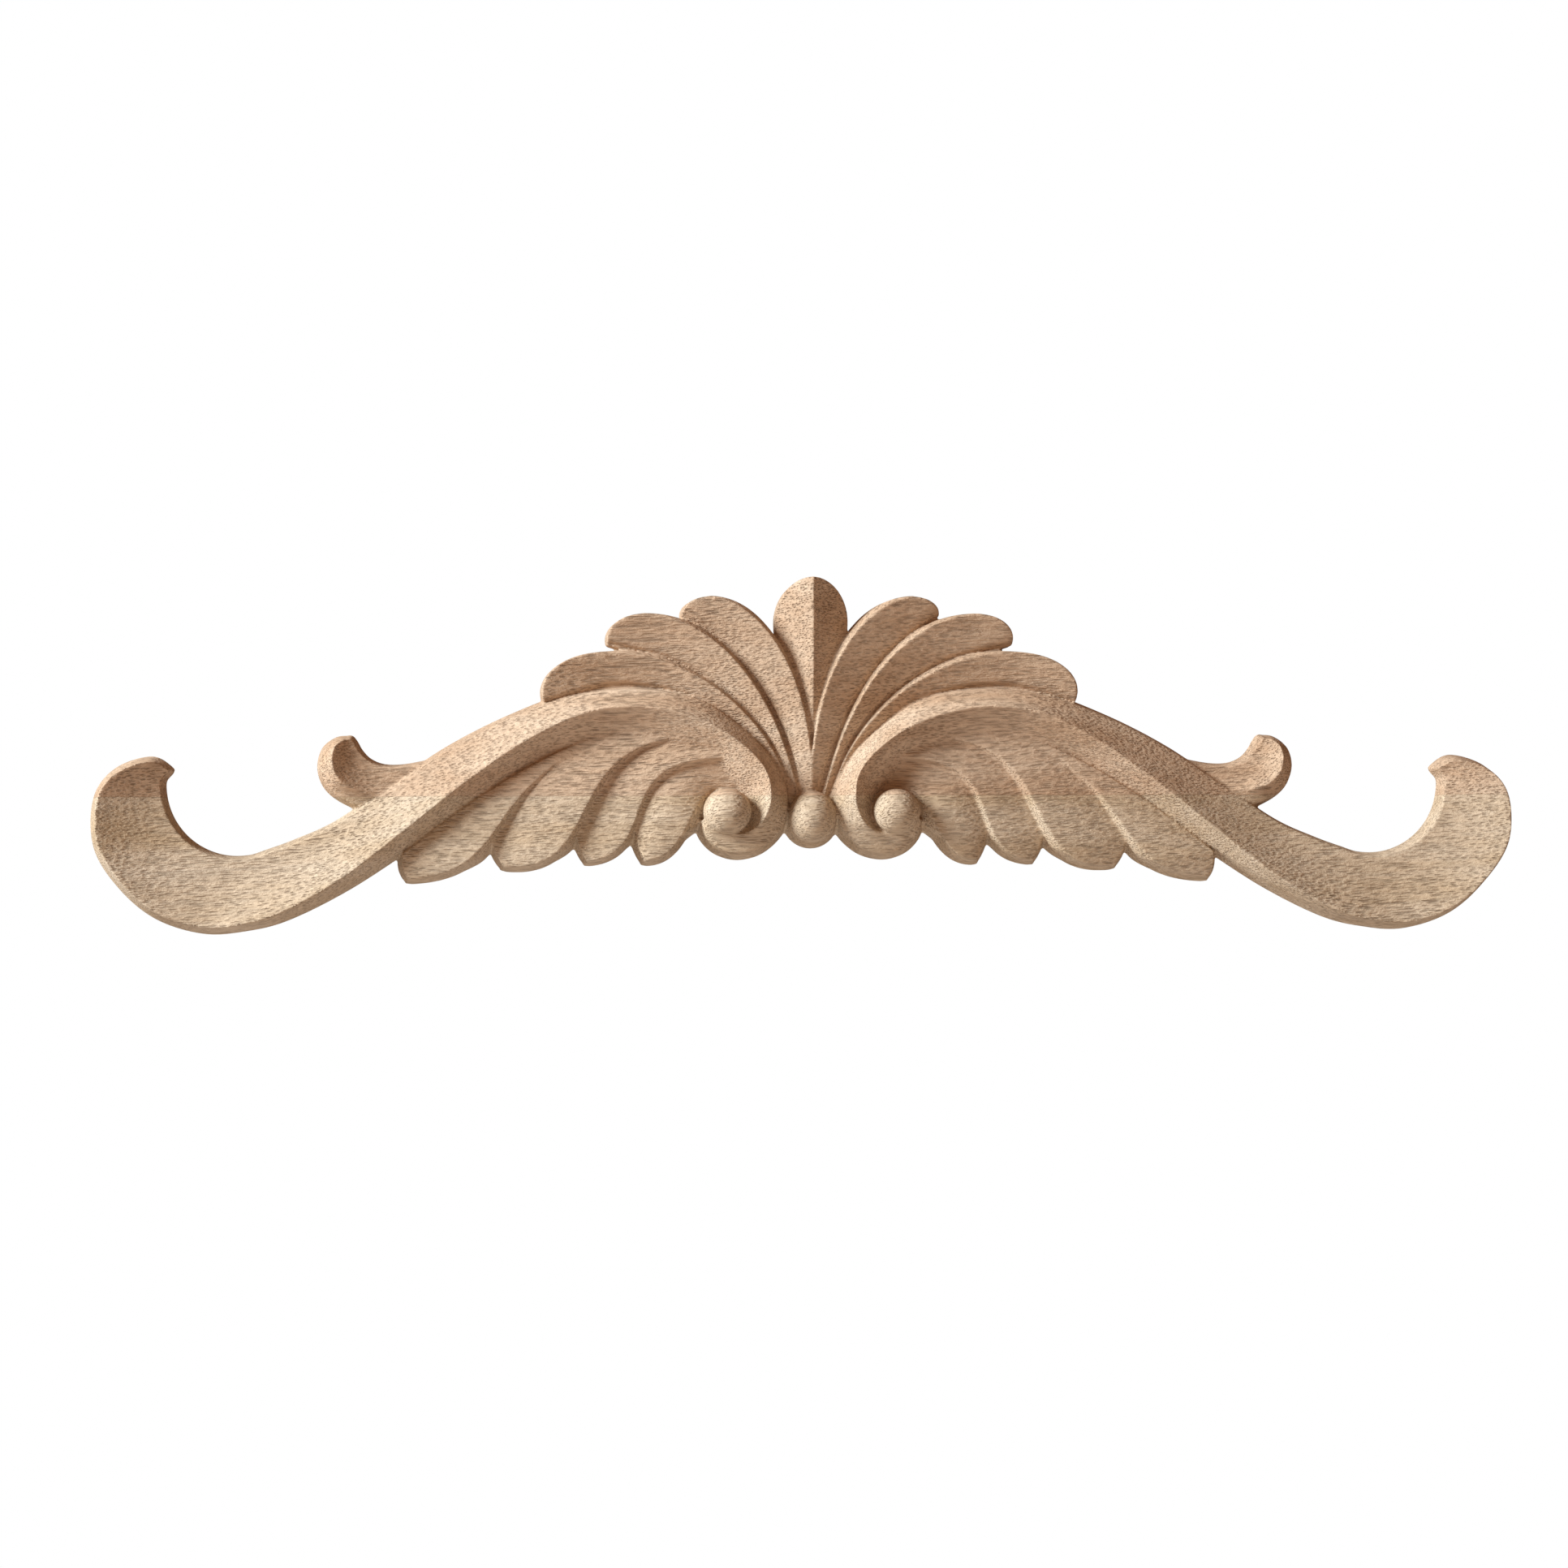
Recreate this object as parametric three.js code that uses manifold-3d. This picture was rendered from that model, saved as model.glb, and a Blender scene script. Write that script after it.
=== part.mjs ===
// Carved wooden crest onlay: one piece of wood, cut as a relief from one board, to be glued flat to
// furniture or a door frame. A ridged shell stands in the middle, a ball below it, and on each side
// a long scroll runs from a volute with a button, over the arch and down to a wide open hook, with
// four feathers under it and a small tendril behind it.
// Millimetres, +Z up, front towards -Y. The back lies flat in the plane y = 0, and the origin is on
// it, on the centre line and half way up.
import * as THREE from "three";
import { mergeVertices } from "three/addons/utils/BufferGeometryUtils.js";
import Module from "manifold-3d";

const LENGTH = 400; // hook to hook
const RELIEF = 18; // back to the crown of the buttons
const EDGE = 7; // height of the plain outer edge along the hooks and tendrils
const DRAFT = 10; // degrees that the outer walls lean
const PETAL_RISE = 5.4; // how far the widest face of a petal could climb to its inner edge
const PETAL_DROP = 2.8; // height of the bevel along that edge
const PETAL_BEVEL = 1.6; // width of that bevel
const FEATHER_RISE = 2.6; // how much higher a feather is along its inner edge
const FEATHER_DROP = 3.3; // height of the bevel along that edge
const FEATHER_BEVEL = 1.6; // width of that bevel
const FEATHER_TUCK = 3.5; // how far a feather runs on under the scroll
const BUTTON_RADIUS = 6.6;
const BUTTON_DOME = 5.6; // crown of a button above its rim
const BALL_WIDTH = 13.4;
const BALL_HEIGHT = 14.2;
const BELOW = 2; // the members run this far behind the back plane before it cuts them off

// The carving is drawn for an onlay 400 long and 18 deep, and follows both sizes.
const plan = LENGTH / 400;
const deep = RELIEF / 18;

const smooth = THREE.MathUtils.smoothstep;
const mix = THREE.MathUtils.lerp;
const lean = (degrees) => Math.tan(THREE.MathUtils.degToRad(degrees));
const polar = (cx, cz, r, degrees) => {
  const a = THREE.MathUtils.degToRad(degrees);
  return [cx + r * Math.cos(a), cz + r * Math.sin(a)];
};

// A cubic curve in the plan, as the points at equal steps of its parameter.
function bezier(points, steps, until = 1) {
  const curve = new THREE.CubicBezierCurve(...points.map((p) => new THREE.Vector2(...p)));
  return Array.from({ length: steps + 1 }, (_, i) => curve.getPoint((until * i) / steps).toArray());
}

// Rows between stations, each number on its own smooth curve through the stations.
function between(stations, steps) {
  const rows = [];
  const spans = stations.length - 1;
  for (let i = 0; i <= steps; i++) {
    const u = (i / steps) * spans;
    const k = Math.min(Math.floor(u), spans - 1);
    const t = u - k;
    const [a, b, c, d] = [k - 1, k, k + 1, k + 2].map((s) => stations[THREE.MathUtils.clamp(s, 0, spans)]);
    rows.push(b.map((_, j) => 0.5 * (2 * b[j] + (c[j] - a[j]) * t
      + (2 * a[j] - 5 * b[j] + 4 * c[j] - d[j]) * t * t + (3 * b[j] - a[j] - 3 * c[j] + d[j]) * t ** 3)));
  }
  return rows;
}

// A closed solid from a grid of [x, z, height] points. Its carved face is the grid, its walls lean
// out from the grid's edge and run on a little behind the back plane, where they are cut off later.
// wallLean gives each wall's lean: start row, last column, end row, first column.
function relief(grid, wallLean) {
  const last = grid.length - 1;
  const side = grid[0].length - 1;
  const edge = [];
  const push = (i, j, wall) => edge.push({ i, j, point: grid[i][j], wall });
  for (let j = 0; j < side; j++) push(0, j, wallLean[0](0));
  for (let i = 0; i < last; i++) push(i, side, wallLean[1](i / last));
  for (let j = side; j > 0; j--) push(last, j, wallLean[2](1));
  for (let i = last; i > 0; i--) push(i, 0, wallLean[3](i / last));

  const away = (a, b) => Math.hypot(a[0] - b[0], a[1] - b[1]) > 1e-3;
  const ring = edge.map((e) => new THREE.Vector2(e.point[0], e.point[1]));
  const turn = Math.sign(THREE.ShapeUtils.area(ring));
  const foot = grid.map((row) => row.map(([x, z]) => [x, z, -BELOW]));
  edge.forEach(({ i, j, point, wall }, k) => {
    const step = (by) => {
      let n = k;
      do n = (n + by + edge.length) % edge.length; while (!away(edge[n].point, point));
      return ring[n];
    };
    const into = ring[k].clone().sub(step(-1)).normalize();
    const out = step(1).clone().sub(ring[k]).normalize();
    const reach = (turn * (point[2] + BELOW) * wall) / Math.max(0.5, 1 + into.dot(out));
    foot[i][j][0] += (into.y + out.y) * reach;
    foot[i][j][1] -= (into.x + out.x) * reach;
  });

  const corners = [];
  const quad = (...points) => {
    const [a, b, c, d] = points.map(([x, z, height]) => [x * plan, -height * deep, z * plan]);
    corners.push(...a, ...b, ...c, ...a, ...c, ...d);
  };
  for (let i = 0; i < last; i++) {
    for (let j = 0; j < side; j++) {
      quad(grid[i][j], grid[i][j + 1], grid[i + 1][j + 1], grid[i + 1][j]);
      quad(foot[i][j], foot[i + 1][j], foot[i + 1][j + 1], foot[i][j + 1]);
    }
  }
  edge.forEach((e, k) => {
    const n = edge[(k + 1) % edge.length];
    quad(e.point, foot[e.i][e.j], foot[n.i][n.j], n.point);
  });
  return closed(corners);
}

// A geometry with shared corners, without the faces that have shrunk to a line, facing out.
function closed(corners) {
  const raw = new THREE.BufferGeometry();
  raw.setAttribute("position", new THREE.Float32BufferAttribute(corners, 3));
  const merged = mergeVertices(raw, 1e-3);
  const at = merged.getAttribute("position");
  const point = (i) => new THREE.Vector3().fromBufferAttribute(at, i);
  const faces = [];
  let volume = 0;
  for (let i = 0; i < merged.index.count; i += 3) {
    const [a, b, c] = [0, 1, 2].map((k) => merged.index.getX(i + k));
    if (a === b || b === c || c === a) continue;
    faces.push([a, b, c]);
    volume += point(a).dot(point(b).cross(point(c)));
  }
  merged.setIndex(faces.flatMap(([a, b, c]) => (volume > 0 ? [a, b, c] : [a, c, b])));
  return merged;
}

function mirrored(geometry) {
  const copy = geometry.clone().scale(-1, 1, 1);
  const turned = Array.from(copy.index.array);
  for (let i = 0; i < turned.length; i += 3) [turned[i + 1], turned[i + 2]] = [turned[i + 2], turned[i + 1]];
  copy.setIndex(turned);
  return copy;
}

// A dome on a round or oval base: its rim at height rim, its crown higher by rise.
function dome(cx, cz, rx, rz, rim, rise) {
  const foot = 1 + ((rim + BELOW) * lean(DRAFT)) / rx;
  const profile = [new THREE.Vector2(0, -BELOW), new THREE.Vector2(foot, -BELOW)];
  for (let i = 0; i <= 5; i++) {
    const [across, up] = polar(0, 0, 1, i * 18);
    profile.push(new THREE.Vector2(i < 5 ? across : 0, rim + rise * up));
  }
  const turned = new THREE.LatheGeometry(profile, 24).rotateX(Math.PI);
  turned.scale(rx * plan, deep, rz * plan).translate(cx * plan, 0, cz * plan);
  return closed(turned.toNonIndexed().getAttribute("position").array);
}

const walls = (...degrees) => degrees.map((d) => () => lean(d));

// The scroll. Each station is the crest, the low upper edge, then three heights (crest, upper edge,
// foot) and how far the foot lies beyond the crest.
const BUTTON = [23.5, -17];
const CREST_GROWTH = 0.0078; // per degree, of the crest of the volute
const RIM_GROWTH = 0.0049; // per degree, of its outer edge

function scrollStations() {
  const tip = [178.2, -4.4, 178.4, -4.6, EDGE + 0.4, EDGE + 0.4, EDGE + 0.4, 0];
  const hook = [88, 52, 18, -14, -37, -60, -84].map((angle, i) => {
    const radius = 30.6 + 1.8 * smooth(angle, -45, -15);
    const crest = angle > 0 ? polar(182.8, -17.6, 15.4, angle) : polar(165.8, -17.6, radius, angle);
    const upper = polar(159.5, -8.6, 20.8, 3 - 17 * i);
    const height = 11.6 - 1.8 * smooth(i, 3, 6.5) - 1.4 * smooth(1 - i, 0, 1);
    return [...crest, ...upper, height, EDGE, height - 0.2, 0];
  });
  const sweep = [
    [158, -47.4, 151.2, -27.6, 11, EDGE, 9.4, 0.2],
    [146, -43.6, 143, -24.6, 11.8, EDGE, 8.8, 1.2],
    [130, -34.4, 132, -19.6, 12.6, EDGE, 8, 2.4],
    [113, -21.3, 117, -9.6, 13.2, EDGE, 7.2, 4.2],
    [96, -7.9, 101, 1, 13.8, EDGE + 0.5, 7.4, 5.4],
    [79, 3.7, 84, 9.6, 14.4, EDGE + 1, 8, 6.3],
    [62.5, 11.2, 66.5, 15.8, 15, EDGE + 2, 8.6, 9.4],
    [47, 12.5, 48, 17.6, 15.4, EDGE + 3, 8.8, 9.6],
    [33, 9.4, 31, 14.5, 15.6, EDGE + 3, 8.2, 10.5],
    [22, 3.8, 18.6, 6, 15.8, EDGE + 3, 7.4, 10.5],
  ];
  const volute = [];
  for (let angle = 128; angle <= 345; angle += 31) {
    const spiral = BUTTON_RADIUS * Math.max(0.9, 1.14 * Math.exp(CREST_GROWTH * (225 - angle)));
    const crest = polar(...BUTTON, spiral, angle);
    const rimRadius = BUTTON_RADIUS * 1.12 * Math.exp(RIM_GROWTH * (345 - angle));
    const upper = polar(...BUTTON, rimRadius - 2 + 2 * smooth(angle, 120, 190), angle);
    const height = 15.8 - 5.4 * smooth(angle, 150, 250) + 1.1 * smooth(angle, 280, 345);
    const rim = EDGE + 3 + 1.4 * smooth(angle, 270, 345);
    volute.push([...crest, ...upper, height, rim, 6, spiral - 4]);
  }
  return [tip, ...hook, ...sweep, ...volute];
}

function scroll() {
  const steps = 62;
  const grid = between(scrollStations(), steps).map(([cx, cz, ux, uz, crest, upper, foot, reach], i) => {
    const along = i / steps;
    const wide = Math.max(Math.hypot(cx - ux, cz - uz), 1e-6);
    const scoop = 1.7 - 0.7 * smooth(along, 0.25, 0.5);
    const row = [];
    for (const s of [0, 0.35, 0.7, 1]) {
      row.push([mix(ux, cx, s), mix(uz, cz, s), upper + (crest - upper) * s ** scoop]);
    }
    for (const s of [0.5, 1]) {
      const out = (reach * s) / wide;
      row.push([cx + (cx - ux) * out, cz + (cz - uz) * out, foot + (crest - foot) * (1 - s) ** 1.1]);
    }
    return row;
  });
  const outer = (along) => lean(DRAFT) * (1 - smooth(along, 0.45, 0.55));
  return relief(grid, [() => lean(DRAFT), outer, () => 0, () => lean(DRAFT)]);
}

// The shell: each petal's high inner edge is a curve from the base to the top of its nose, and the
// nose is part of an oval. Its face falls away to the next petal's edge, and leaves that edge at the
// share leave of it. Level is the height of its low side, at the base and at the nose.
const BASE_LEVEL = -14;
const PETALS = [
  {
    edge: [[-0.2, BASE_LEVEL], [-1.2, 24.4], [15.4, 42], [28.2, 43.4]],
    nose: [7.8, 4.7],
    end: -8,
    leave: 0.64,
    level: [7.8, 9.1],
  },
  {
    edge: [[3.3, BASE_LEVEL], [8.5, 14.4], [25, 37.8], [46.8, 38.6]],
    nose: [10.1, 6.9],
    end: -14,
    leave: 0.76,
    level: [7.5, 8.1],
  },
  {
    edge: [[5.7, BASE_LEVEL], [8.6, 8.7], [34, 28.8], [57.5, 28]],
    nose: [17.6, 11],
    end: -22,
    leave: 0.88,
    level: [7.2, 7.2],
  },
];
const UPPER_EDGE_UNDER_SHELL = [[7.6, BASE_LEVEL], [8.8, 2], [34, 25], [70, 14.6]];

// A point beside a high edge, out on its steep side, where the bevel along that edge ends.
function bevelFoot(edge, i, outward, height, bevel, drop) {
  const out = Math.max(0.05, bevel);
  return [edge[i][0] + outward[0] * out, edge[i][1] + outward[1] * out, height - Math.max(0.05, drop)];
}

function petal(index) {
  const { edge, nose, end, leave, level } = PETALS[index];
  const curveSteps = 16;
  const noseSteps = 9;
  const apex = edge[3];
  const centre = [apex[0], apex[1] - nose[1]];
  const high = bezier(edge, curveSteps);
  for (let i = 1; i <= noseSteps; i++) {
    const [x, z] = polar(0, 0, 1, mix(90, end, i / noseSteps));
    high.push([centre[0] + nose[0] * x, centre[1] + nose[1] * z]);
  }
  const tip = high[high.length - 1];
  const next = index < 2 ? PETALS[index + 1].edge : UPPER_EDGE_UNDER_SHELL;
  const low = bezier(next, curveSteps, leave);
  const turnOff = low[low.length - 1];
  for (let i = 1; i <= noseSteps; i++) {
    low.push([mix(turnOff[0], tip[0], i / noseSteps), mix(turnOff[1], tip[1], i / noseSteps)]);
  }
  const grid = high.map((h, i) => {
    const along = i / (high.length - 1);
    const across = new THREE.Vector2(h[0] - low[i][0], h[1] - low[i][1]);
    const base = mix(...level, along);
    const rise = PETAL_RISE * Math.tanh(across.length() / 13);
    const face = [0, 0.3, 0.65, 1].map((s) => {
      return [mix(low[i][0], h[0], s), mix(low[i][1], h[1], s), base + rise * s ** 0.85];
    });
    const fade = 1 - smooth(along, 0.42, 0.7);
    const outward = across.normalize().toArray();
    return [...face, bevelFoot(high, i, outward, base + rise, PETAL_BEVEL * fade, PETAL_DROP * fade)];
  });
  return relief(grid, walls(0, 2, 0, 0));
}

// The middle petal has a ridge down its centre line and falls to both sides. It widens up to a
// rounded head.
const MIDDLE_HALF = 10.2;

function middlePetal() {
  const grid = [];
  const [rise, head] = [9, 7];
  for (let i = 0; i <= rise + head; i++) {
    const turn = Math.max(0, (i - rise) / head);
    const climb = Math.min(1, i / rise);
    const [across, up] = polar(0, 0, 1, 90 * turn);
    const z = i < rise ? mix(0, 36.6, climb) : 36.6 + 12.3 * up;
    let half = i < rise + head ? MIDDLE_HALF * across : 0;
    if (i < rise) half = mix(0.8, MIDDLE_HALF, smooth(climb, 0, 1));
    const ridge = 8 + 7 * (1 - Math.exp(-z / 18));
    grid.push([-1, -0.5, 0, 0.5, 1].map((s) => [half * s, z, ridge - 0.6 * half * Math.abs(s)]));
  }
  return relief(grid, walls(0, 0, 0, 0));
}

// The feathers, from the hook side inwards. Each one's high inner edge is a curve from its root
// under the scroll to its tip, and its face falls away to the next feather's edge. Towards the tip its
// low side goes down by fall.
const FOOT_OF_SCROLL = [[60, 4.4], [80, -2], [100, -17], [114.6, -28.6]];
const FEATHERS = [
  { edge: [[56, 5.5], [94.3, -11], [82.3, -33.1], [112, -34.9]], leave: 0.98, fall: 1.9 },
  { edge: [[40.5, 3.7], [69.4, -1.7], [58.5, -33.7], [85.5, -31.5]], leave: 0.55, fall: 2 },
  { edge: [[23.8, -1.5], [57.7, -1.1], [41.1, -27.9], [62.4, -30.1]], leave: 0.57, fall: 2 },
  { edge: [[21, -11.5], [35, -3.2], [31.8, -29.8], [46.3, -29.9]], leave: 0.6, fall: 1.2 },
];

function feather(index) {
  const { edge, leave, fall } = FEATHERS[index];
  const inner = index === FEATHERS.length - 1;
  const steps = 20;
  const turn = Math.round(steps * 0.75);
  const high = bezier(edge, steps);
  const tip = edge[3];
  const beside = index > 0 ? FEATHERS[index - 1].edge : FOOT_OF_SCROLL;
  const under = bezier(beside, turn, leave);
  const corner = under[turn];
  const low = high.map((h, i) => {
    if (i <= turn) return under[i];
    const t = (i - turn) / (steps - turn);
    const bulge = 4 * t * (1 - t);
    return [mix(corner[0], tip[0], t) + 0.9 * bulge, mix(corner[1], tip[1], t) - 0.5 * bulge];
  });
  const widest = Math.max(...high.map((h, i) => Math.hypot(h[0] - low[i][0], h[1] - low[i][1])));
  const grid = high.map((h, i) => {
    const along = i / steps;
    const share = Math.hypot(h[0] - low[i][0], h[1] - low[i][1]) / widest;
    const level = 9.2 - fall * smooth(along, 0.1, 0.9);
    const climb = FEATHER_RISE * share * smooth(along, -0.4, 0.3);
    const rise = inner ? mix(-1.2, FEATHER_RISE * 0.77 * share, smooth(along, 0.1, 0.6)) : climb;
    const bevel = inner ? FEATHER_BEVEL * 1.7 : FEATHER_BEVEL;
    const crown = (inner ? 0.9 * smooth(along, 0, 0.3) : 0.35) * share;
    const face = [0, 0.35, 0.7, 1].map((s) => {
      const height = level + rise * s + crown * Math.sin(Math.PI * s);
      return [mix(low[i][0], h[0], s), mix(low[i][1], h[1], s), height];
    });
    const before = high[Math.max(i - 1, 0)];
    const after = high[Math.min(i + 1, high.length - 1)];
    const outward = new THREE.Vector2(after[1] - before[1], before[0] - after[0]).normalize().toArray();
    const fade = 1 - smooth(along, 0.66, 0.8);
    return [...face, bevelFoot(high, i, outward, level + rise, bevel * fade, FEATHER_DROP * fade)];
  });
  const root = grid[0].map(([x, z, height]) => [x, z + FEATHER_TUCK, height]);
  return relief([root, ...grid], walls(0, DRAFT, DRAFT, DRAFT));
}

// The tendril behind the scroll: a scooped face between its upper edge and its crest, and a slope
// from the crest to its outer edge.
function tendril() {
  const stations = [
    [104, -2, 104, -9, 104, -14, EDGE - 1, 6.2, 5.4],
    [113, -3.7, 114, -11, 114, -16, EDGE - 1, 6.4, 5.4],
    [119, -3.7, 121.5, -11, 122.5, -15.6, EDGE - 1, 7.2, 5.6],
    [123.2, -2, 128, -9.4, 129.8, -12.8, EDGE - 1, 8.8, 6],
    [125.7, 0.6, 132, -6.2, 134.5, -9, EDGE - 1, 10.2, 6.4],
    [127, 2.8, 133.2, -1.8, 136.3, -4, EDGE - 0.8, 10.4, 6.6],
    [127.8, 3.9, 132.4, 1.8, 135.2, 1, EDGE - 0.6, 9.4, 6.6],
    [128.2, 4.2, 130.2, 3.5, 131.9, 3.7, EDGE - 0.4, 7.8, 6.6],
    [128.5, 4.2, 128.7, 4.1, 128.9, 4.1, EDGE - 0.4, EDGE - 0.4, EDGE - 0.4],
  ];
  const grid = between(stations, 24).map(([ux, uz, cx, cz, ox, oz, upper, crest, outer]) => [
    ...[0, 0.4, 0.75, 1].map((s) => [mix(ux, cx, s), mix(uz, cz, s), upper + (crest - upper) * s ** 1.6]),
    ...[0.5, 1].map((s) => [mix(cx, ox, s), mix(cz, oz, s), mix(crest, outer, s)]),
  ]);
  return relief(grid, walls(0, DRAFT, DRAFT, DRAFT));
}

const wasm = await Module();
wasm.setup();

function solid(geometry) {
  const vertProperties = geometry.getAttribute("position").array;
  const triVerts = new Uint32Array(geometry.index.array);
  return new wasm.Manifold(new wasm.Mesh({ numProp: 3, vertProperties, triVerts }));
}

function carve() {
  const button = dome(...BUTTON, BUTTON_RADIUS, BUTTON_RADIUS, 18 - BUTTON_DOME, BUTTON_DOME);
  const petals = PETALS.map((_, i) => petal(i));
  const feathers = FEATHERS.map((_, i) => feather(i));
  const oneSide = [scroll(), button, tendril(), ...petals, ...feathers];
  const middle = [middlePetal(), dome(0, -17.9, BALL_WIDTH / 2, BALL_HEIGHT / 2, 8.5, 6.7)];
  const all = [...oneSide, ...oneSide.map(mirrored), ...middle].map(solid);
  const box = new THREE.BoxGeometry(LENGTH * 1.5, RELIEF * 4, LENGTH).translate(0, -RELIEF * 2, 0);
  const inFront = solid(closed(box.toNonIndexed().getAttribute("position").array));
  return all.reduce((sum, next) => sum.add(next)).intersect(inFront);
}

function onlay() {
  const { vertProperties, triVerts } = carve().getMesh();
  const geometry = new THREE.BufferGeometry();
  geometry.setAttribute("position", new THREE.BufferAttribute(vertProperties, 3));
  geometry.setIndex(new THREE.BufferAttribute(triVerts, 1));
  const bareWood = new THREE.MeshStandardMaterial({ color: 0xd3b394, roughness: 0.8, metalness: 0 });
  const mesh = new THREE.Mesh(geometry, bareWood);
  mesh.name = "carved_onlay";
  return mesh;
}

const part = new THREE.Group();
part.add(onlay());
export default part;
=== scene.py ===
# Carved wooden crest onlay, raw and unfinished. One board is carved into a ridged shell over a small
# ball, with a long scroll to each side, feathers under the scrolls and a tendril behind each one.
# Lengths are in millimetres until a block takes its place in the scene, which is in metres.
import math

import bpy
from mathutils import Matrix, Vector


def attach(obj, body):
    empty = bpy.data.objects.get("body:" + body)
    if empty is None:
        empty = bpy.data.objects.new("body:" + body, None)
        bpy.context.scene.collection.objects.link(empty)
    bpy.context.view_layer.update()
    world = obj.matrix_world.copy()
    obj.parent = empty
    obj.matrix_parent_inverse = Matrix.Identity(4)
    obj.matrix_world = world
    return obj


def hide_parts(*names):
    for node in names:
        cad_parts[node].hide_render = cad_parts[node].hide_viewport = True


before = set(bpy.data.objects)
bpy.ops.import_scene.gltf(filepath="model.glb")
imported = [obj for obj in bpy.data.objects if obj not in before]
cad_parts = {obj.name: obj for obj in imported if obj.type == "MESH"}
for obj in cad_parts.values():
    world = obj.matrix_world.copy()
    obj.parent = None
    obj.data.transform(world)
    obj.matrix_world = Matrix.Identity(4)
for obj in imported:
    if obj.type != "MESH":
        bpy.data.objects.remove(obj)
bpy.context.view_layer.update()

# The two long scrolls. Each is one S-shaped limb with a crest along its lower side: the broad upper
# face climbs to the crest and a narrow face drops from it to the feathers. At the outer end it curls
# up into an open hook, and at the inner end it curls round under the button.
MM = 0.001
EDGE = 7.0  # height of the plain outer edge
DRAFT = 10.0  # lean of the outer walls, in degrees
BELOW = 3.0  # the blocks run this far behind the back, where they are sawn off at the end
SAME_PLACE = 1e-3  # points of a rim that are nearer than this count as one
MITRE = 0.88  # a wall leans out at a corner as if the corner were no sharper than this
EYE = (23.5, -17.0)  # the volute winds in to this point
HOOK = (165.8, -17.6)  # the hook's crest runs round this point
HOOK_RADIUS = 30.6
NOSE = (182.8, -17.6)  # the crest runs round this one at the hook's nose
NOSE_RADIUS = 15.4
BAY = (159.5, -8.6)  # the open space inside the hook is round this point
BAY_RADIUS = 20.8
SCROLL_STEPS = 320
UPPER_STEPS = 14  # steps from the upper edge to the crest


def smooth(value, low, high):
    t = min(1.0, max(0.0, (value - low) / (high - low)))
    return t * t * (3 - 2 * t)


def mix(a, b, t):
    return a + (b - a) * t


def lean(degrees):
    return math.tan(math.radians(degrees))


def polar(centre, radius, degrees):
    angle = math.radians(degrees)
    return centre[0] + radius * math.cos(angle), centre[1] + radius * math.sin(angle)


def between(p, q, r, w, t):
    """A smooth curve's value at t on its way from q to r. It came from p and goes on to w."""
    square = 2 * p - 5 * q + 4 * r - w
    cube = 3 * q - p - 3 * r + w
    return 0.5 * (2 * q + (r - p) * t + square * t * t + cube * t ** 3)


def through(stations, steps):
    """Rows at equal steps between the stations, every number on its own smooth curve."""
    rows = []
    spans = len(stations) - 1
    for i in range(steps + 1):
        u = i / steps * spans
        k = min(int(u), spans - 1)
        near = [stations[min(max(s, 0), spans)] for s in (k - 1, k, k + 1, k + 2)]
        rows.append([between(p, q, r, w, u - k) for p, q, r, w in zip(*near)])
    return rows


def scooped(start, end, steps, scoop):
    """Points from one (x, z, height) to another, hollow between them where scoop is above 1."""
    points = []
    for i in range(steps + 1):
        t = i / steps
        height = start[2] + (end[2] - start[2]) * t ** scoop
        points.append((mix(start[0], end[0], t), mix(start[1], end[1], t), height))
    return points


def straight(degrees):
    """A wall that leans out by the same angle all along."""
    return lambda along: lean(degrees)


def outer_wall(along):
    """The scroll's outer wall leans out, but stands upright where it curls in to the volute."""
    return lean(DRAFT) * (1 - smooth(along, 0.45, 0.55))


def carved_block(name, rows, walls):
    """A closed block whose front is the rows of (x, z, height). Its four walls lean out to the back:
    at the first row, the last column, the last row and the first column."""
    along, across = len(rows) - 1, len(rows[0]) - 1
    bpy.ops.object.select_all(action="DESELECT")
    bpy.ops.mesh.primitive_grid_add(x_subdivisions=across, y_subdivisions=along, size=1)
    block = bpy.context.object
    block.name = name
    bpy.ops.object.mode_set(mode="EDIT")
    bpy.ops.mesh.extrude_region_move(TRANSFORM_OT_translate={"value": (0, 0, -1)})
    bpy.ops.object.mode_set(mode="OBJECT")

    rim = [(0, j, walls[0](0)) for j in range(across)]
    rim += [(i, across, walls[1](i / along)) for i in range(along)]
    rim += [(along, j, walls[2](1)) for j in range(across, 0, -1)]
    rim += [(i, 0, walls[3](i / along)) for i in range(along, 0, -1)]
    ring = [Vector(rows[i][j][:2]) for i, j, _ in rim]
    area = sum(p.cross(q) for p, q in zip(ring, ring[1:] + ring[:1]))
    foot = {}
    for k, (i, j, wall) in enumerate(rim):
        before, after = k - 1, (k + 1) % len(ring)
        while (ring[k] - ring[before]).length < SAME_PLACE:
            before -= 1
        while (ring[after] - ring[k]).length < SAME_PLACE:
            after = (after + 1) % len(ring)
        direction = (ring[k] - ring[before]).normalized() + (ring[after] - ring[k]).normalized()
        if direction.length < 0.2:
            direction = (ring[k] - ring[before]).normalized()
        outward = Vector((direction.y, -direction.x)).normalized() * math.copysign(1, area)
        foot[i, j] = ring[k] + outward * (rows[i][j][2] + BELOW) * wall / max(MITRE, direction.length / 2)
    for vertex in block.data.vertices:
        i = round((vertex.co.y + 0.5) * along)
        j = round((vertex.co.x + 0.5) * across)
        x, z, height = rows[i][j]
        if vertex.co.z < -0.5:
            x, z = foot.get((i, j), (x, z))
            height = -BELOW
        vertex.co = (x * MM, -height * MM, z * MM)
    return block


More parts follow.
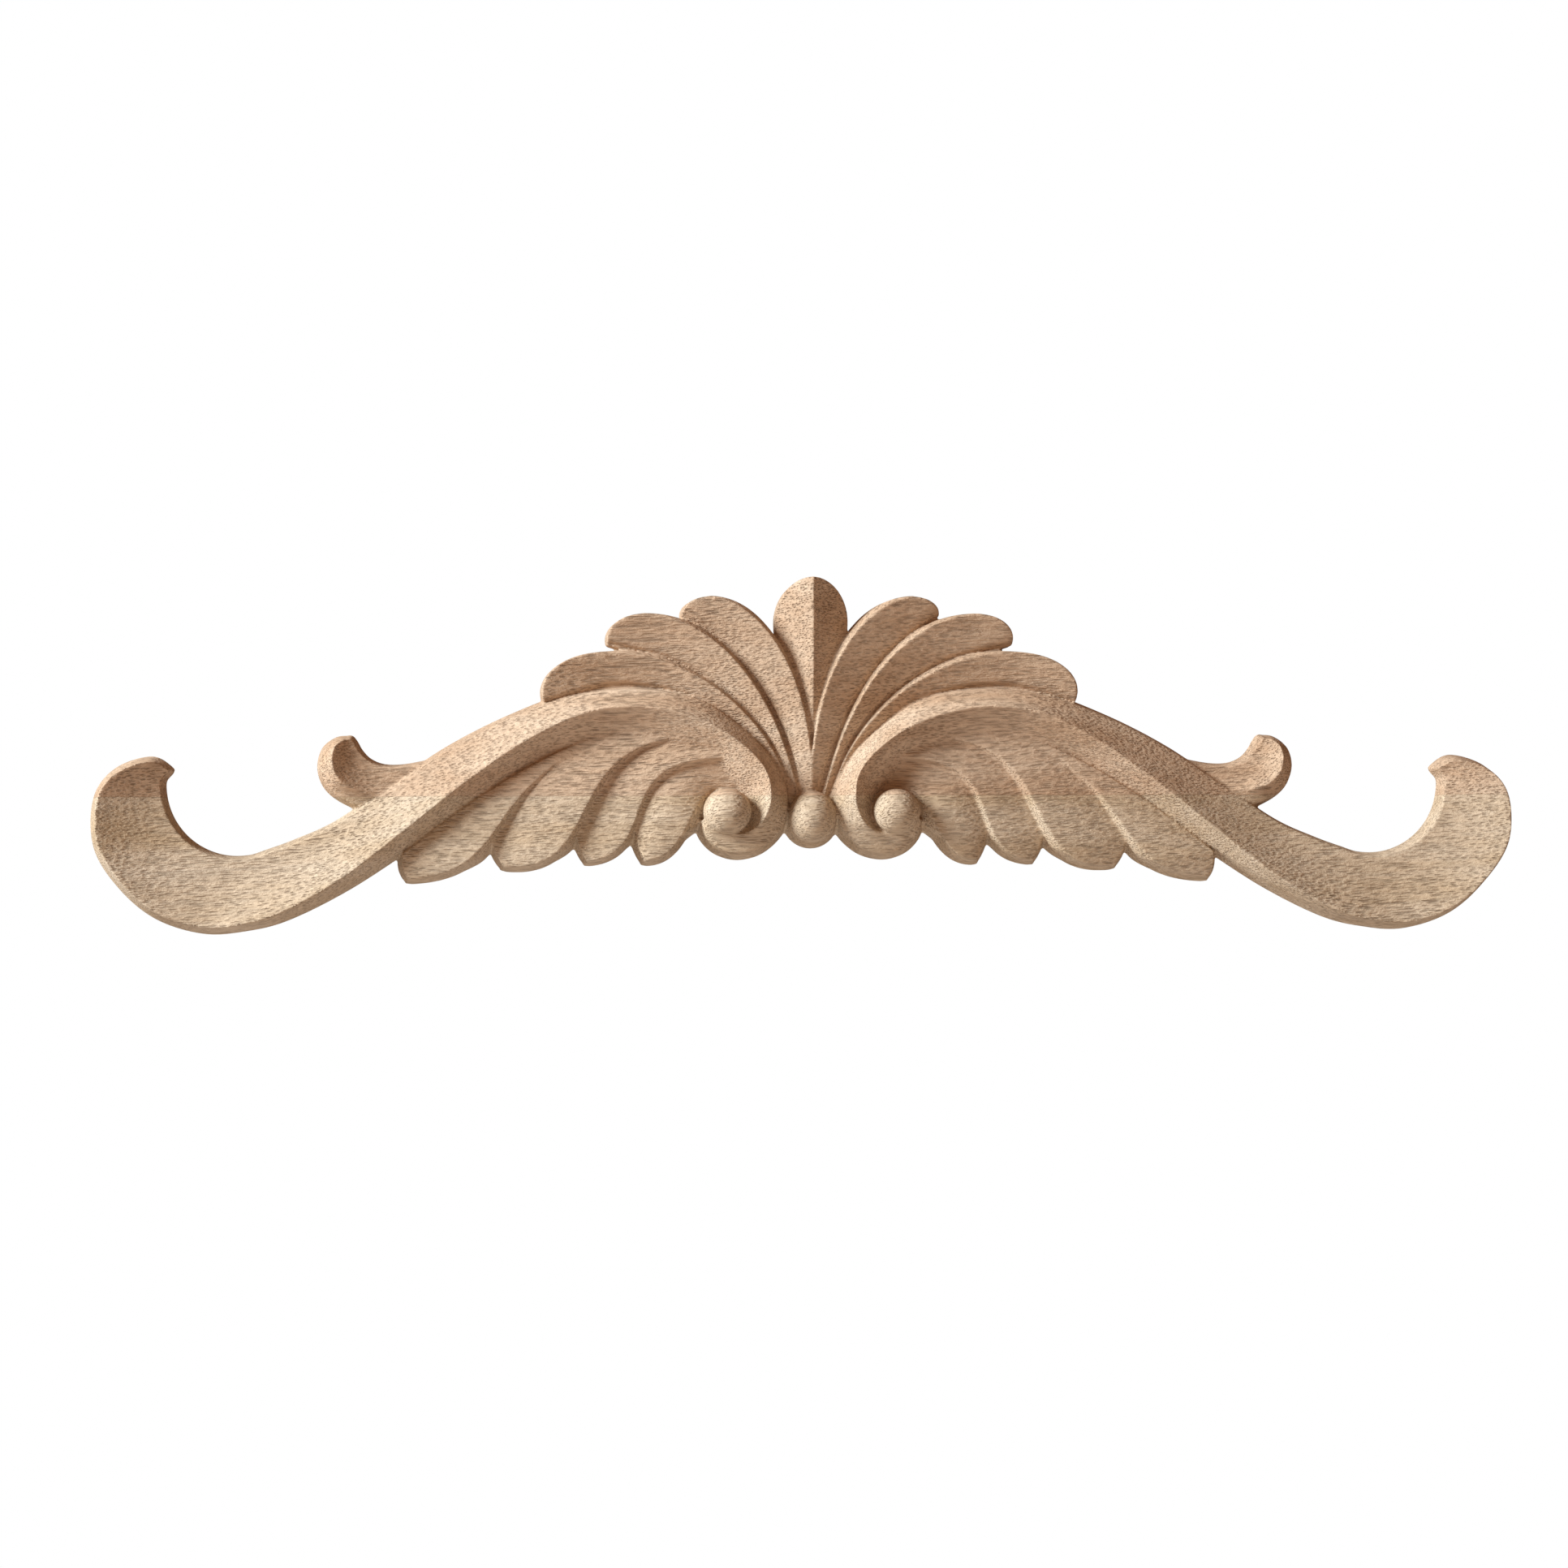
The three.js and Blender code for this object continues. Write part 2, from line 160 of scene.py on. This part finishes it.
def scroll_stations():
    """Crest x and z, upper edge x and z, heights of crest, upper edge and foot, reach of the foot."""
    tip = [178.2, -4.4, 178.4, -4.6, EDGE + 0.4, EDGE + 0.4, EDGE + 0.4, 0]
    hook = []
    for i, angle in enumerate((88, 52, 18, -14, -37, -60, -84)):
        crest = polar(HOOK, HOOK_RADIUS + 1.8 * smooth(angle, -45, -15), angle)
        if angle > 0:
            crest = polar(NOSE, NOSE_RADIUS, angle)
        height = 11.6 - 1.8 * smooth(i, 3, 6.5) - 1.4 * smooth(1 - i, 0, 1)
        hook.append([*crest, *polar(BAY, BAY_RADIUS, 3 - 17 * i), height, EDGE, height - 0.2, 0])
    sweep = [
        [158, -47.4, 151.2, -27.6, 11, EDGE, 9.4, 0.2],
        [146, -43.6, 143, -24.6, 11.8, EDGE, 8.8, 1.2],
        [130, -34.4, 132, -19.6, 12.6, EDGE, 8.0, 2.4],
        [113, -21.3, 117, -9.6, 13.2, EDGE, 7.2, 4.2],
        [96, -7.9, 101, 1.0, 13.8, EDGE + 0.5, 7.4, 5.4],
        [79, 3.7, 84, 9.6, 14.4, EDGE + 1, 8.0, 6.3],
        [62.5, 11.2, 66.5, 15.8, 15.0, EDGE + 2, 8.6, 9.4],
        [47, 12.5, 48, 17.6, 15.4, EDGE + 3, 8.8, 9.6],
        [33, 9.4, 31, 14.5, 15.6, EDGE + 3, 8.2, 10.5],
        [22, 3.8, 18.6, 6.0, 15.8, EDGE + 3, 7.4, 10.5],
    ]
    volute = []
    for angle in range(128, 346, 31):
        reach = max(5.9, 7.5 * math.exp(0.0078 * (225 - angle)))
        crest = polar(EYE, reach, angle)
        upper = polar(EYE, 7.4 * math.exp(0.0049 * (345 - angle)) - 2 + 2 * smooth(angle, 120, 190), angle)
        height = 15.8 - 4.6 * smooth(angle, 150, 250) + 1.6 * smooth(angle, 280, 345)
        edge = EDGE + 3 - 0.8 * smooth(angle, 200, 290) + 1.4 * smooth(angle, 300, 345)
        volute.append([*crest, *upper, height, edge, 6.0, reach - 4])
    return [tip] + hook + sweep + volute


scroll_rows = []
for step, station in enumerate(through(scroll_stations(), SCROLL_STEPS)):
    cx, cz, ux, uz, crest, upper, low, reach = station
    scoop = 1.7 - 0.7 * smooth(step / SCROLL_STEPS, 0.25, 0.5)
    row = scooped((ux, uz, upper), (cx, cz, crest), UPPER_STEPS, scoop)
    wide = max(math.hypot(cx - ux, cz - uz), 1e-6)
    for s in (0.15, 0.3, 0.5, 0.75, 1):
        out = reach * s / wide
        row.append((cx + (cx - ux) * out, cz + (cz - uz) * out, low + (crest - low) * (1 - s) ** 1.1))
    scroll_rows.append(row)
members = [carved_block("scroll", scroll_rows, (straight(DRAFT), outer_wall, straight(0), straight(DRAFT)))]

# The button in the eye of each scroll, a turned-looking dome left standing over the end of the
# limb's face.


def domed_block(name, centre, half_width, half_height, rim, crown, wall):
    """An upright round or oval post with a domed top, whose wall leans out to the back by so many
    degrees. Its rim and crown are heights."""
    bpy.ops.object.select_all(action="DESELECT")
    bpy.ops.mesh.primitive_uv_sphere_add(segments=64, ring_count=48, radius=1)
    dome = bpy.context.object
    dome.name = name
    for vertex in dome.data.vertices:
        x, y, up = vertex.co
        height = rim + (crown - rim) * up if up > 0 else mix(rim, -BELOW, -up)
        if up <= 0:
            ring = math.hypot(x, y)
            widen = (1 + (rim - height) * lean(wall) / half_width) if up > -0.999 else 1
            x, y = (x / ring * widen, y / ring * widen) if ring > 1e-6 else (0, 0)
        vertex.co = ((centre[0] + x * half_width) * MM, -height * MM, (centre[1] + y * half_height) * MM)
    bpy.ops.object.mode_set(mode="EDIT")
    bpy.ops.mesh.select_all(action="SELECT")
    bpy.ops.mesh.normals_make_consistent(inside=False)
    bpy.ops.object.mode_set(mode="OBJECT")
    return dome


members.append(domed_block("button", (23.6, -16.5), half_width=6.5, half_height=6.2, rim=12.0, crown=17.4,
                           wall=4))

# The shell: three petals to each side. Each has a sharp high edge towards the middle and a face that
# falls away to the next petal's step, and it ends in a rounded nose.
BASE_LEVEL = -14
PETAL_RISE = 5.4  # how far the widest face climbs to its high edge
FULL_WIDTH = 13  # a face of this width climbs three quarters of that
PETAL_STEP = (1.6, 2.8)  # how far a petal's edge leans out and how far it drops to the next face
PETAL_GROOVE = 1.1  # depth of the veiner's groove at the foot of each step
GROOVE_HALF = 0.8
LEAST_STEP = 0.05  # a step that has faded out is still this large, so that no two points meet
PETAL_PLACES = (0, 0.04, 0.08, 0.12, 0.16, 0.2, 0.24, 0.28, 0.33, 0.4, 0.5, 0.6, 0.7, 0.8, 0.9, 1)
PETAL_EDGES = {
    "inner_petal": [(-0.2, BASE_LEVEL), (-1.2, 24.4), (15.4, 42), (28.2, 43.4)],
    "middle_petal": [(3.3, BASE_LEVEL), (8.5, 14.4), (25, 37.8), (46.8, 38.6)],
    "outer_petal": [(5.7, BASE_LEVEL), (8.6, 8.7), (34, 28.8), (57.5, 28)],
    "scroll": [(7.6, BASE_LEVEL), (8.8, 2), (34, 25), (70, 14.6)],
}


def bezier(points, steps, until=1.0):
    """Points at equal steps of a curve's parameter, up to the share until of it."""
    places = []
    for i in range(steps + 1):
        t = until * i / steps
        a, b, c, d = (Vector(p) for p in points)
        places.append(a * (1 - t) ** 3 + 3 * b * t * (1 - t) ** 2 + 3 * c * t * t * (1 - t) + d * t ** 3)
    return places


def petal(name, beside, level, climb, nose, nose_end, leave):
    """A petal from its own edge down to the edge beside it, which it leaves at a share of its length.
    Its level is a height and climbs towards the nose, which is half an oval down to an angle."""
    curve_steps, nose_steps = 70, 40
    high = bezier(PETAL_EDGES[name], curve_steps)
    apex = high[-1]
    for i in range(1, nose_steps + 1):
        x, z = polar((0, 0), 1, mix(90, nose_end, i / nose_steps))
        high.append(Vector((apex.x + nose[0] * x, apex.y - nose[1] + nose[1] * z)))
    low = bezier(PETAL_EDGES[beside], curve_steps, leave)
    low += [low[curve_steps].lerp(high[-1], i / nose_steps) for i in range(1, nose_steps + 1)]
    rows = []
    for i, (top, bottom) in enumerate(zip(high, low)):
        along = i / (len(high) - 1)
        wide = (top - bottom).length
        ground = level + climb * along
        rise = PETAL_RISE * math.tanh(wide / FULL_WIDTH)
        row = []
        for s in PETAL_PLACES:
            off = (s * wide - PETAL_STEP[0]) / GROOVE_HALF
            groove = PETAL_GROOVE * math.exp(-off ** 2) * (1 - s) ** 0.5
            row.append((*bottom.lerp(top, s), ground + rise * s ** 0.85 - groove))
        fade = 1 - smooth(along, 0.42, 0.7)
        out = top + (top - bottom).normalized() * max(LEAST_STEP, PETAL_STEP[0] * fade)
        row.append((out.x, out.y, ground + rise - max(LEAST_STEP, PETAL_STEP[1] * fade)))
        rows.append(row)
    return carved_block(name, rows, (straight(0), straight(2), straight(0), straight(0)))


members.append(petal("inner_petal", "middle_petal", level=7.8, climb=1.3, nose=(7.8, 4.7),
                     nose_end=-8, leave=0.64))
members.append(petal("middle_petal", "outer_petal", level=7.5, climb=0.6, nose=(10.1, 6.9),
                     nose_end=-14, leave=0.76))
members.append(petal("outer_petal", "scroll", level=7.2, climb=0, nose=(17.6, 11),
                     nose_end=-22, leave=0.88))

# The four feathers under each scroll. A feather is highest along its inner edge and lies flat to the
# next one's step, and its tip is rounded off at the outer corner.
FEATHER_LEVEL = 9.2
FEATHER_FALLS = [1.9, 2, 2, 1.2]  # how far each face falls from the scroll to the tip
FEATHER_RISE = 2.6
FEATHER_STEP = (1.6, 3.3)  # how far its inner edge leans out, and how far it drops to the next face
FEATHER_STEPS = 120  # steps along a feather
TURN_STEP = 90  # and the step at which its tip leaves the neighbour
FACE_STEPS = 12
TUCK = 3.5  # how far each one runs on under the scroll
FEATHER_EDGES = [
    [(60, 4.4), (80, -2), (100, -17), (114.6, -28.6)],
    [(56, 5.5), (94.3, -11), (82.3, -33.1), (112, -34.9)],
    [(40.5, 3.7), (69.4, -1.7), (58.5, -33.7), (85.5, -31.5)],
    [(23.8, -1.5), (57.7, -1.1), (41.1, -27.9), (62.4, -30.1)],
    [(21, -11.5), (35, -3.2), (31.8, -29.8), (46.3, -29.9)],
]
LEAVES = [0.98, 0.55, 0.57, 0.6]  # where each tip leaves its neighbour, as a share of the neighbour's edge
tucked = (straight(0), straight(DRAFT), straight(DRAFT), straight(DRAFT))
for index, (leave, fall) in enumerate(zip(LEAVES, FEATHER_FALLS)):
    high = bezier(FEATHER_EDGES[index + 1], FEATHER_STEPS)
    low = bezier(FEATHER_EDGES[index], TURN_STEP, leave)
    corner = low[TURN_STEP]
    for i in range(1, FEATHER_STEPS - TURN_STEP + 1):
        t = i / (FEATHER_STEPS - TURN_STEP)
        bulge = 4 * t * (1 - t)
        low.append(corner.lerp(high[-1], t) + Vector((0.9, -0.5)) * bulge)
    widest = max((top - bottom).length for top, bottom in zip(high, low))
    rows = []
    for i, (top, bottom) in enumerate(zip(high, low)):
        along = i / FEATHER_STEPS
        share = (top - bottom).length / widest
        ground = FEATHER_LEVEL - fall * smooth(along, 0.1, 0.9)
        rise = FEATHER_RISE * share * smooth(along, -0.4, 0.3)
        lip, ease_off = FEATHER_STEP[0], (0.66, 0.8)
        crown = 0.35 * share
        if index == len(LEAVES) - 1:  # the one beside the button dips at its root and has a rounder face
            rise = mix(-1.2, 2 * share, smooth(along, 0.1, 0.6))
            lip, ease_off = 2.7, (0.52, 0.68)
            crown = 0.9 * smooth(along, 0, 0.3) * share
        row = []
        for s in range(FACE_STEPS + 1):
            height = ground + rise * s / FACE_STEPS + crown * math.sin(math.pi * s / FACE_STEPS)
            row.append((*bottom.lerp(top, s / FACE_STEPS), height))
        fade = 1 - smooth(along, *ease_off)
        inward = (high[min(i + 1, FEATHER_STEPS)] - high[max(i - 1, 0)]).normalized()
        out = top + Vector((inward.y, -inward.x)) * max(LEAST_STEP, lip * fade)
        row.append((out.x, out.y, ground + rise - max(LEAST_STEP, FEATHER_STEP[1] * fade)))
        rows.append(row)
    rows.insert(0, [(x, z + TUCK, height) for x, z, height in rows[0]])
    members.append(carved_block("feather", rows, tucked))

# The tendril behind each scroll, a short curl whose scooped inner face and sloping outer face meet
# in a crest. Its stations are the inner edge's x and z, the crest's, the outer edge's, and the heights
# of the three.
TENDRIL = [
    [104, -2, 104, -9, 104, -14, EDGE - 1, 6.2, 5.4],
    [113, -3.7, 114, -11, 114, -16, EDGE - 1, 6.4, 5.4],
    [119, -3.7, 121.5, -11, 122.5, -15.6, EDGE - 1, 7.2, 5.6],
    [123.2, -2, 128, -9.4, 129.8, -12.8, EDGE - 1, 8.8, 6],
    [125.7, 0.6, 132, -6.2, 134.5, -9, EDGE - 1, 10.2, 6.4],
    [127, 2.8, 133.2, -1.8, 136.3, -4, EDGE - 0.8, 10.4, 6.6],
    [127.8, 3.9, 132.4, 1.8, 135.2, 1, EDGE - 0.6, 9.4, 6.6],
    [128.2, 4.2, 130.2, 3.5, 131.9, 3.7, EDGE - 0.4, 7.8, 6.6],
    [128.5, 4.2, 128.7, 4.1, 128.9, 4.1, EDGE - 0.4, EDGE - 0.4, EDGE - 0.4],
]
TENDRIL_STEPS = 100
INNER_STEPS = 8  # steps across the scooped face
OUTER_STEPS = 4  # and across the sloping one
rows = []
for ux, uz, cx, cz, ox, oz, upper, crest, outer in through(TENDRIL, TENDRIL_STEPS):
    row = scooped((ux, uz, upper), (cx, cz, crest), INNER_STEPS, 1.6)
    row += scooped((cx, cz, crest), (ox, oz, outer), OUTER_STEPS, 1)[1:]
    rows.append(row)
members.append(carved_block("tendril", rows, tucked))

# The middle: the spade-shaped petal with a ridge down its centre line, and the ball under it. Both
# stand a hair to the right of the line that the scrolls are mirrored on.
CENTRE = 0.3
ROOT_HALF = 0.8  # half its width at the ball
MIDDLE_HALF = 10.2  # and where it is widest
SHOULDER = 36.6  # there its round head starts
HEAD = 12.3
RIDGE = (8, 7)  # height of the ridge at the ball, and how far it climbs from there
FACE_SLOPE = 0.6
HALF_STEPS = 6
rise_steps, head_steps = 40, 30
rows = []
for i in range(rise_steps + head_steps + 1):
    across, up = polar((0, 0), 1, 90 * max(0, (i - rise_steps) / head_steps))
    climb = min(1, i / rise_steps)
    z = SHOULDER * climb if i < rise_steps else SHOULDER + HEAD * up
    half = MIDDLE_HALF * max(0, across)
    if i < rise_steps:
        half = mix(ROOT_HALF, MIDDLE_HALF, smooth(climb, 0, 1))
    ridge = RIDGE[0] + RIDGE[1] * (1 - math.exp(-z / 18))
    row = []
    for s in range(-HALF_STEPS, HALF_STEPS + 1):
        height = ridge - FACE_SLOPE * half * abs(s) / HALF_STEPS
        row.append((CENTRE + half * s / HALF_STEPS, z, height))
    rows.append(row)
middle = [carved_block("centre_petal", rows, (straight(0), straight(0), straight(0), straight(0)))]
middle.append(domed_block("ball", (CENTRE, -17.9), half_width=6.7, half_height=7.1, rim=8.5, crown=15.2,
                          wall=DRAFT))

# The blocks become one piece of wood: one side is mirrored to the other, all are fused, the carved
# edges are eased as by sanding, and the back is sawn flat.
GRIT = 0.34  # finest carved detail, in millimetres
MOST_TRIANGLES = 192000
PLANED = 0.12  # what stands no further than this off the back is planed down to it
SHARP_EDGE = 65  # a carved edge sharper than this many degrees stays crisp
bpy.ops.object.select_all(action="DESELECT")
for block in members:
    block.select_set(True)
bpy.context.view_layer.objects.active = members[0]
bpy.ops.object.join()
onlay = bpy.context.object
onlay.name = "carved_wood"
other_side = onlay.modifiers.new("other side", "MIRROR")
other_side.use_axis = (True, False, False)
other_side.use_mirror_merge = False
bpy.ops.object.modifier_apply(modifier="other side")
for block in middle:
    block.select_set(True)
bpy.ops.object.join()
bpy.ops.object.mode_set(mode="EDIT")
bpy.ops.mesh.select_all(action="SELECT")
bpy.ops.mesh.normals_make_consistent(inside=False)
bpy.ops.object.mode_set(mode="OBJECT")
fuse = onlay.modifiers.new("fuse", "REMESH")
fuse.mode = "VOXEL"
fuse.voxel_size = GRIT * MM
bpy.ops.object.modifier_apply(modifier="fuse")
ease = onlay.modifiers.new("ease", "SMOOTH")
ease.factor = 0.5
ease.iterations = 3
bpy.ops.object.modifier_apply(modifier="ease")
bpy.ops.object.mode_set(mode="EDIT")
bpy.ops.mesh.select_all(action="SELECT")
bpy.ops.mesh.bisect(plane_co=(0, 0, 0), plane_no=(0, 1, 0), use_fill=True, clear_outer=True)
bpy.ops.object.mode_set(mode="OBJECT")
triangles = sum(len(p.vertices) - 2 for p in onlay.data.polygons)
thin = onlay.modifiers.new("thin", "DECIMATE")
thin.ratio = min(1, MOST_TRIANGLES / triangles)
bpy.ops.object.modifier_apply(modifier="thin")

# Thinning lifts the rim of the sawn back a little, so the back is planed flat again.
bpy.ops.object.mode_set(mode="EDIT")
bpy.ops.mesh.select_all(action="DESELECT")
bpy.ops.object.mode_set(mode="OBJECT")
for vertex in onlay.data.vertices:
    vertex.select = vertex.co.y > -PLANED * MM
bpy.ops.object.mode_set(mode="EDIT")
bpy.ops.transform.resize(value=(1, 0, 1), center_override=(0, 0, 0))
bpy.ops.object.mode_set(mode="OBJECT")
bpy.ops.object.shade_smooth_by_angle(angle=math.radians(SHARP_EDGE))
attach(onlay, "root")
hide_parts("carved_onlay")

# Raw rubberwood, cut by machine and sanded but left unfinished: pale and matt, with a faint figure
# along the board and open pores that show dark. They run along the grain, so they are dashes on a
# face along it and specks where the carving cuts the grain's end. Two staves meet in a glue line.
GLUE_LINE = -12.0
GLUE_WIDTH = 0.16


def linear(hex_colour):
    channels = [int(hex_colour[i:i + 2], 16) / 255 for i in (1, 3, 5)]
    return [c / 12.92 if c <= 0.04045 else ((c + 0.055) / 1.055) ** 2.4 for c in channels] + [1]


def add(tree, kind, inputs=None, stops=(), **settings):
    """A node with its settings and a ramp's stops. An input is a value, a socket, or a node whose first
    output goes in."""
    node = tree.nodes.new(kind)
    for name, value in settings.items():
        setattr(node, name, value)
    for name, value in (inputs or {}).items():
        socket = node.inputs[name]
        value = value.outputs[0] if isinstance(value, bpy.types.Node) else value
        if isinstance(value, bpy.types.NodeSocket):
            tree.links.new(value, socket)
        else:
            socket.default_value = value
    for i, (place, colour) in enumerate(stops):
        if i == len(node.color_ramp.elements):
            node.color_ramp.elements.new(place)
        node.color_ramp.elements[i].position = place
        node.color_ramp.elements[i].color = linear(colour) if isinstance(colour, str) else [colour] * 3 + [1]
    return node


wood = bpy.data.materials.new("raw_rubberwood")
wood.use_nodes = True
tree = wood.node_tree
shader = tree.nodes["Principled BSDF"]
spot = add(tree, "ShaderNodeTexCoord").outputs["Object"]

# Each stave is from another plank, so its figure starts elsewhere, and the grain wanders a little.
level = add(tree, "ShaderNodeSeparateXYZ", {"Vector": spot}).outputs["Z"]
upper_stave = add(tree, "ShaderNodeMath", {0: level, 1: GLUE_LINE * MM}, operation="GREATER_THAN")
glue = {0: level, 1: GLUE_LINE * MM, 2: GLUE_WIDTH * MM}
glue = add(tree, "ShaderNodeMath", glue, operation="COMPARE")
other_plank = {0: upper_stave, 1: (0.31, 0.12, 0.27), 2: spot}
grain = add(tree, "ShaderNodeVectorMath", other_plank, operation="MULTIPLY_ADD")
bend = add(tree, "ShaderNodeTexNoise", {"Vector": grain, "Scale": 14.0, "Detail": 1.0})
wander = {0: bend, 1: (0, 6 * MM, 6 * MM), 2: grain}
grain = add(tree, "ShaderNodeVectorMath", wander, operation="MULTIPLY_ADD")


def grained(kind, along, across, **inputs):
    """A texture whose forms are so many millimetres long along the grain and so many wide across it."""
    shrunk = {"Vector": grain, "Scale": (1000 / along, 1000 / across, 1000 / across)}
    return add(tree, kind, {"Vector": add(tree, "ShaderNodeMapping", shrunk), "Scale": 1.0, **inputs})


# Growth bands, fibres, fine pores, and long open pores in patches. The pores are drawn at twice their
# real width so that they show.
bands = grained("ShaderNodeTexNoise", 160, 9, Detail=3.0, Roughness=0.6)
fibres = grained("ShaderNodeTexNoise", 24, 0.9, Detail=2.0, Roughness=0.6)
fine = grained("ShaderNodeTexVoronoi", 5, 0.5)
fine = add(tree, "ShaderNodeValToRGB", {"Fac": fine}, stops=((0.15, 0.6), (0.48, 0.0)))
pores = grained("ShaderNodeTexVoronoi", 22, 0.8)
pores = add(tree, "ShaderNodeValToRGB", {"Fac": pores}, stops=((0.14, 1.0), (0.33, 0.0)))
patches = grained("ShaderNodeTexNoise", 70, 14, Detail=2.0)
patches = add(tree, "ShaderNodeValToRGB", {"Fac": patches}, stops=((0.4, 0.25), (0.62, 1.0)))
pores = add(tree, "ShaderNodeMath", {0: pores, 1: patches}, operation="MULTIPLY")
holes = add(tree, "ShaderNodeMath", {0: pores, 1: fine}, operation="MAXIMUM")

# The lower stave is paler and the upper one pinker. Fibres, pores and the glue line darken both.
pale = add(tree, "ShaderNodeValToRGB", {"Fac": bands}, stops=((0.3, "#cbb08f"), (0.7, "#dfcab0")))
pink = add(tree, "ShaderNodeValToRGB", {"Fac": bands}, stops=((0.3, "#c9a686"), (0.7, "#dfc4a8")))
colour = add(tree, "ShaderNodeMixRGB", {0: upper_stave, 1: pale, 2: pink})
lines = add(tree, "ShaderNodeValToRGB", {"Fac": fibres}, stops=((0.3, 0.78), (0.62, 1.0)))
colour = add(tree, "ShaderNodeMixRGB", {0: 1.0, 1: colour, 2: lines}, blend_type="MULTIPLY")
dark = add(tree, "ShaderNodeMath", {0: holes, 1: 0.55}, operation="MULTIPLY")
colour = add(tree, "ShaderNodeMixRGB", {0: dark, 1: colour, 2: linear("#6d4f38")})
seam = add(tree, "ShaderNodeMath", {0: glue, 1: 0.16}, operation="MULTIPLY")
colour = add(tree, "ShaderNodeMixRGB", {0: seam, 1: colour, 2: linear("#7a5b43")})
tree.links.new(colour.outputs[0], shader.inputs["Base Color"])

# The cutter leaves the surface a little rough, and the pores are hollows.
BUMP = 0.55
rough = grained("ShaderNodeTexNoise", 2.2, 0.8, Detail=3.0, Roughness=0.65)
relief = add(tree, "ShaderNodeMath", {0: holes, 1: -0.8, 2: rough}, operation="MULTIPLY_ADD")
bump = add(tree, "ShaderNodeBump", {"Height": relief, "Distance": BUMP * MM, "Strength": 0.9})
tree.links.new(bump.outputs[0], shader.inputs["Normal"])
shader.inputs["Roughness"].default_value = 0.72
shader.inputs["IOR"].default_value = 1.5
shader.inputs["Specular IOR Level"].default_value = 0.3
onlay.data.materials.clear()
onlay.data.materials.append(wood)

# The picture's surroundings: a pale floor far below, a big soft light from the left and a little
# above, and a white surround.
bpy.ops.object.select_all(action="DESELECT")
bpy.ops.mesh.primitive_plane_add(size=12, location=(0, 0, -1.6))
floor = bpy.context.object
floor.name = "floor"
paint = bpy.data.materials.new("pale_floor_paint")
paint.use_nodes = True
paint.node_tree.nodes["Principled BSDF"].inputs["Base Color"].default_value = linear("#e9e7e4")
paint.node_tree.nodes["Principled BSDF"].inputs["Roughness"].default_value = 0.9
floor.data.materials.append(paint)

bpy.ops.object.light_add(type="AREA", location=(-2.1, -0.84, 1.1))
key = bpy.context.object
key.data.shape = "DISK"
key.data.size = 1.1
key.data.energy = 123
key.data.color = (0.87, 0.95, 1.0)
key.rotation_euler = (-key.location).to_track_quat("-Z", "Y").to_euler()

# A white card below the camera throws a little light back up onto the undersides.
bpy.ops.object.light_add(type="AREA", location=(0.2, -1.0, -1.2))
card = bpy.context.object
card.data.size = 1.4
card.data.energy = 3.0
card.data.color = (1.0, 0.86, 0.74)
card.rotation_euler = (-card.location).to_track_quat("-Z", "Y").to_euler()

# The camera sees the surround as white, and the wood gets a weak warm fill from it.
world = bpy.data.worlds.new("white_surround")
bpy.context.scene.world = world
world.use_nodes = True
world.node_tree.nodes.clear()
seen = add(world.node_tree, "ShaderNodeLightPath")
fill = add(world.node_tree, "ShaderNodeBackground", {"Color": linear("#ffcba5"), "Strength": 0.265})
white = add(world.node_tree, "ShaderNodeBackground", {"Color": linear("#ffffff"), "Strength": 1.0})
either = add(world.node_tree, "ShaderNodeMixShader", {0: seen, 1: fill, 2: white})
add(world.node_tree, "ShaderNodeOutputWorld", {"Surface": either})
bpy.context.scene.view_settings.view_transform = "Standard"

# The camera stands a little over a metre away, a touch to the left and below, with a long lens.
AZIMUTH, ELEVATION, ROLL, DISTANCE = -4.6, -2.0, -0.27, 1.2
TARGET = Vector((-0.0070, 0, -0.00844))
bpy.ops.object.camera_add()
camera = bpy.context.object
turn = Matrix.Rotation(math.radians(AZIMUTH), 4, "Z") @ Matrix.Rotation(math.radians(90 - ELEVATION), 4, "X")
turn = turn @ Matrix.Rotation(math.radians(ROLL), 4, "Z")
camera.matrix_world = Matrix.Translation(TARGET + turn.to_3x3() @ Vector((0, 0, DISTANCE))) @ turn
camera.data.lens = 98
camera.data.sensor_width = 36
camera.data.clip_start = 0.1
camera.data.clip_end = 20
bpy.context.scene.camera = camera
